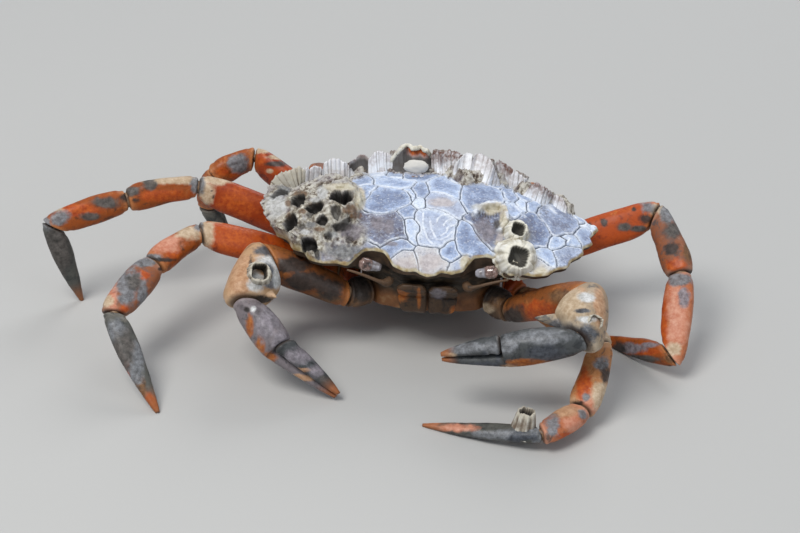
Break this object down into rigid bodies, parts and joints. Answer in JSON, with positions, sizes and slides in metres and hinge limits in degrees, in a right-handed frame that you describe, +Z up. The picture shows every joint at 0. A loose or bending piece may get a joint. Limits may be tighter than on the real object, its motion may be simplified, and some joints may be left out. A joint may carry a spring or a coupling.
{
  "type": "green crab",
  "caption": "Life-size still model of a green crab standing on its leg tips, shield crusted with barnacles and lime plates, claws folded in front.",
  "frame": {"origin": "on the floor under the middle of the crab's bounding box, legs included", "axes": "+Z up, the crab faces -Y, its own left side is at +X"},
  "size_m": [0.1396, 0.1138, 0.0346],
  "materials": {
    "crust": "rough lime crust",
    "orange_shell": "damp shell, half gloss",
    "claw_shell": "muddy shell",
    "underside": "dark shell",
    "eye": "wet"
  },
  "bodies": {
    "root": {"carapace": "crust", "thorax": "underside", "abdomen": "underside", "eye_left": "eye", "antenna_left": "orange_shell", "maxilliped_left": "orange_shell", "eye_right": "eye", "antenna_right": "orange_shell", "maxilliped_right": "orange_shell", "leg1_left_base": "orange_shell", "leg1_left_merus": "orange_shell", "leg1_left_carpus": "orange_shell", "leg1_left_propodus": "orange_shell", "leg1_left_dactyl": "orange_shell", "leg1_right_base": "orange_shell", "leg1_right_merus": "orange_shell", "leg1_right_carpus": "orange_shell", "leg1_right_propodus": "orange_shell", "leg1_right_dactyl": "orange_shell", "leg2_left_base": "orange_shell", "leg2_left_merus": "orange_shell", "leg2_left_carpus": "orange_shell", "leg2_left_propodus": "orange_shell", "leg2_left_dactyl": "orange_shell", "leg2_right_base": "orange_shell", "leg2_right_merus": "orange_shell", "leg2_right_carpus": "orange_shell", "leg2_right_propodus": "orange_shell", "leg2_right_dactyl": "orange_shell", "leg3_left_base": "orange_shell", "leg3_left_merus": "orange_shell", "leg3_left_carpus": "orange_shell", "leg3_left_propodus": "orange_shell", "leg3_left_dactyl": "orange_shell", "leg3_right_base": "orange_shell", "leg3_right_merus": "orange_shell", "leg3_right_carpus": "orange_shell", "leg3_right_propodus": "orange_shell", "leg3_right_dactyl": "orange_shell", "leg4_left_base": "orange_shell", "leg4_left_merus": "orange_shell", "leg4_left_carpus": "orange_shell", "leg4_left_propodus": "orange_shell", "leg4_left_dactyl": "orange_shell", "leg4_right_base": "orange_shell", "leg4_right_merus": "orange_shell", "leg4_right_carpus": "orange_shell", "leg4_right_propodus": "orange_shell", "leg4_right_dactyl": "orange_shell", "claw_left_base": "orange_shell", "claw_left_merus": "orange_shell", "claw_left_carpus": "orange_shell", "claw_left_palm": "claw_shell", "claw_left_finger": "claw_shell", "claw_right_base": "orange_shell", "claw_right_merus": "orange_shell", "claw_right_carpus": "orange_shell", "claw_right_palm": "claw_shell", "claw_right_finger": "claw_shell"}
  },
  "joints": []
}
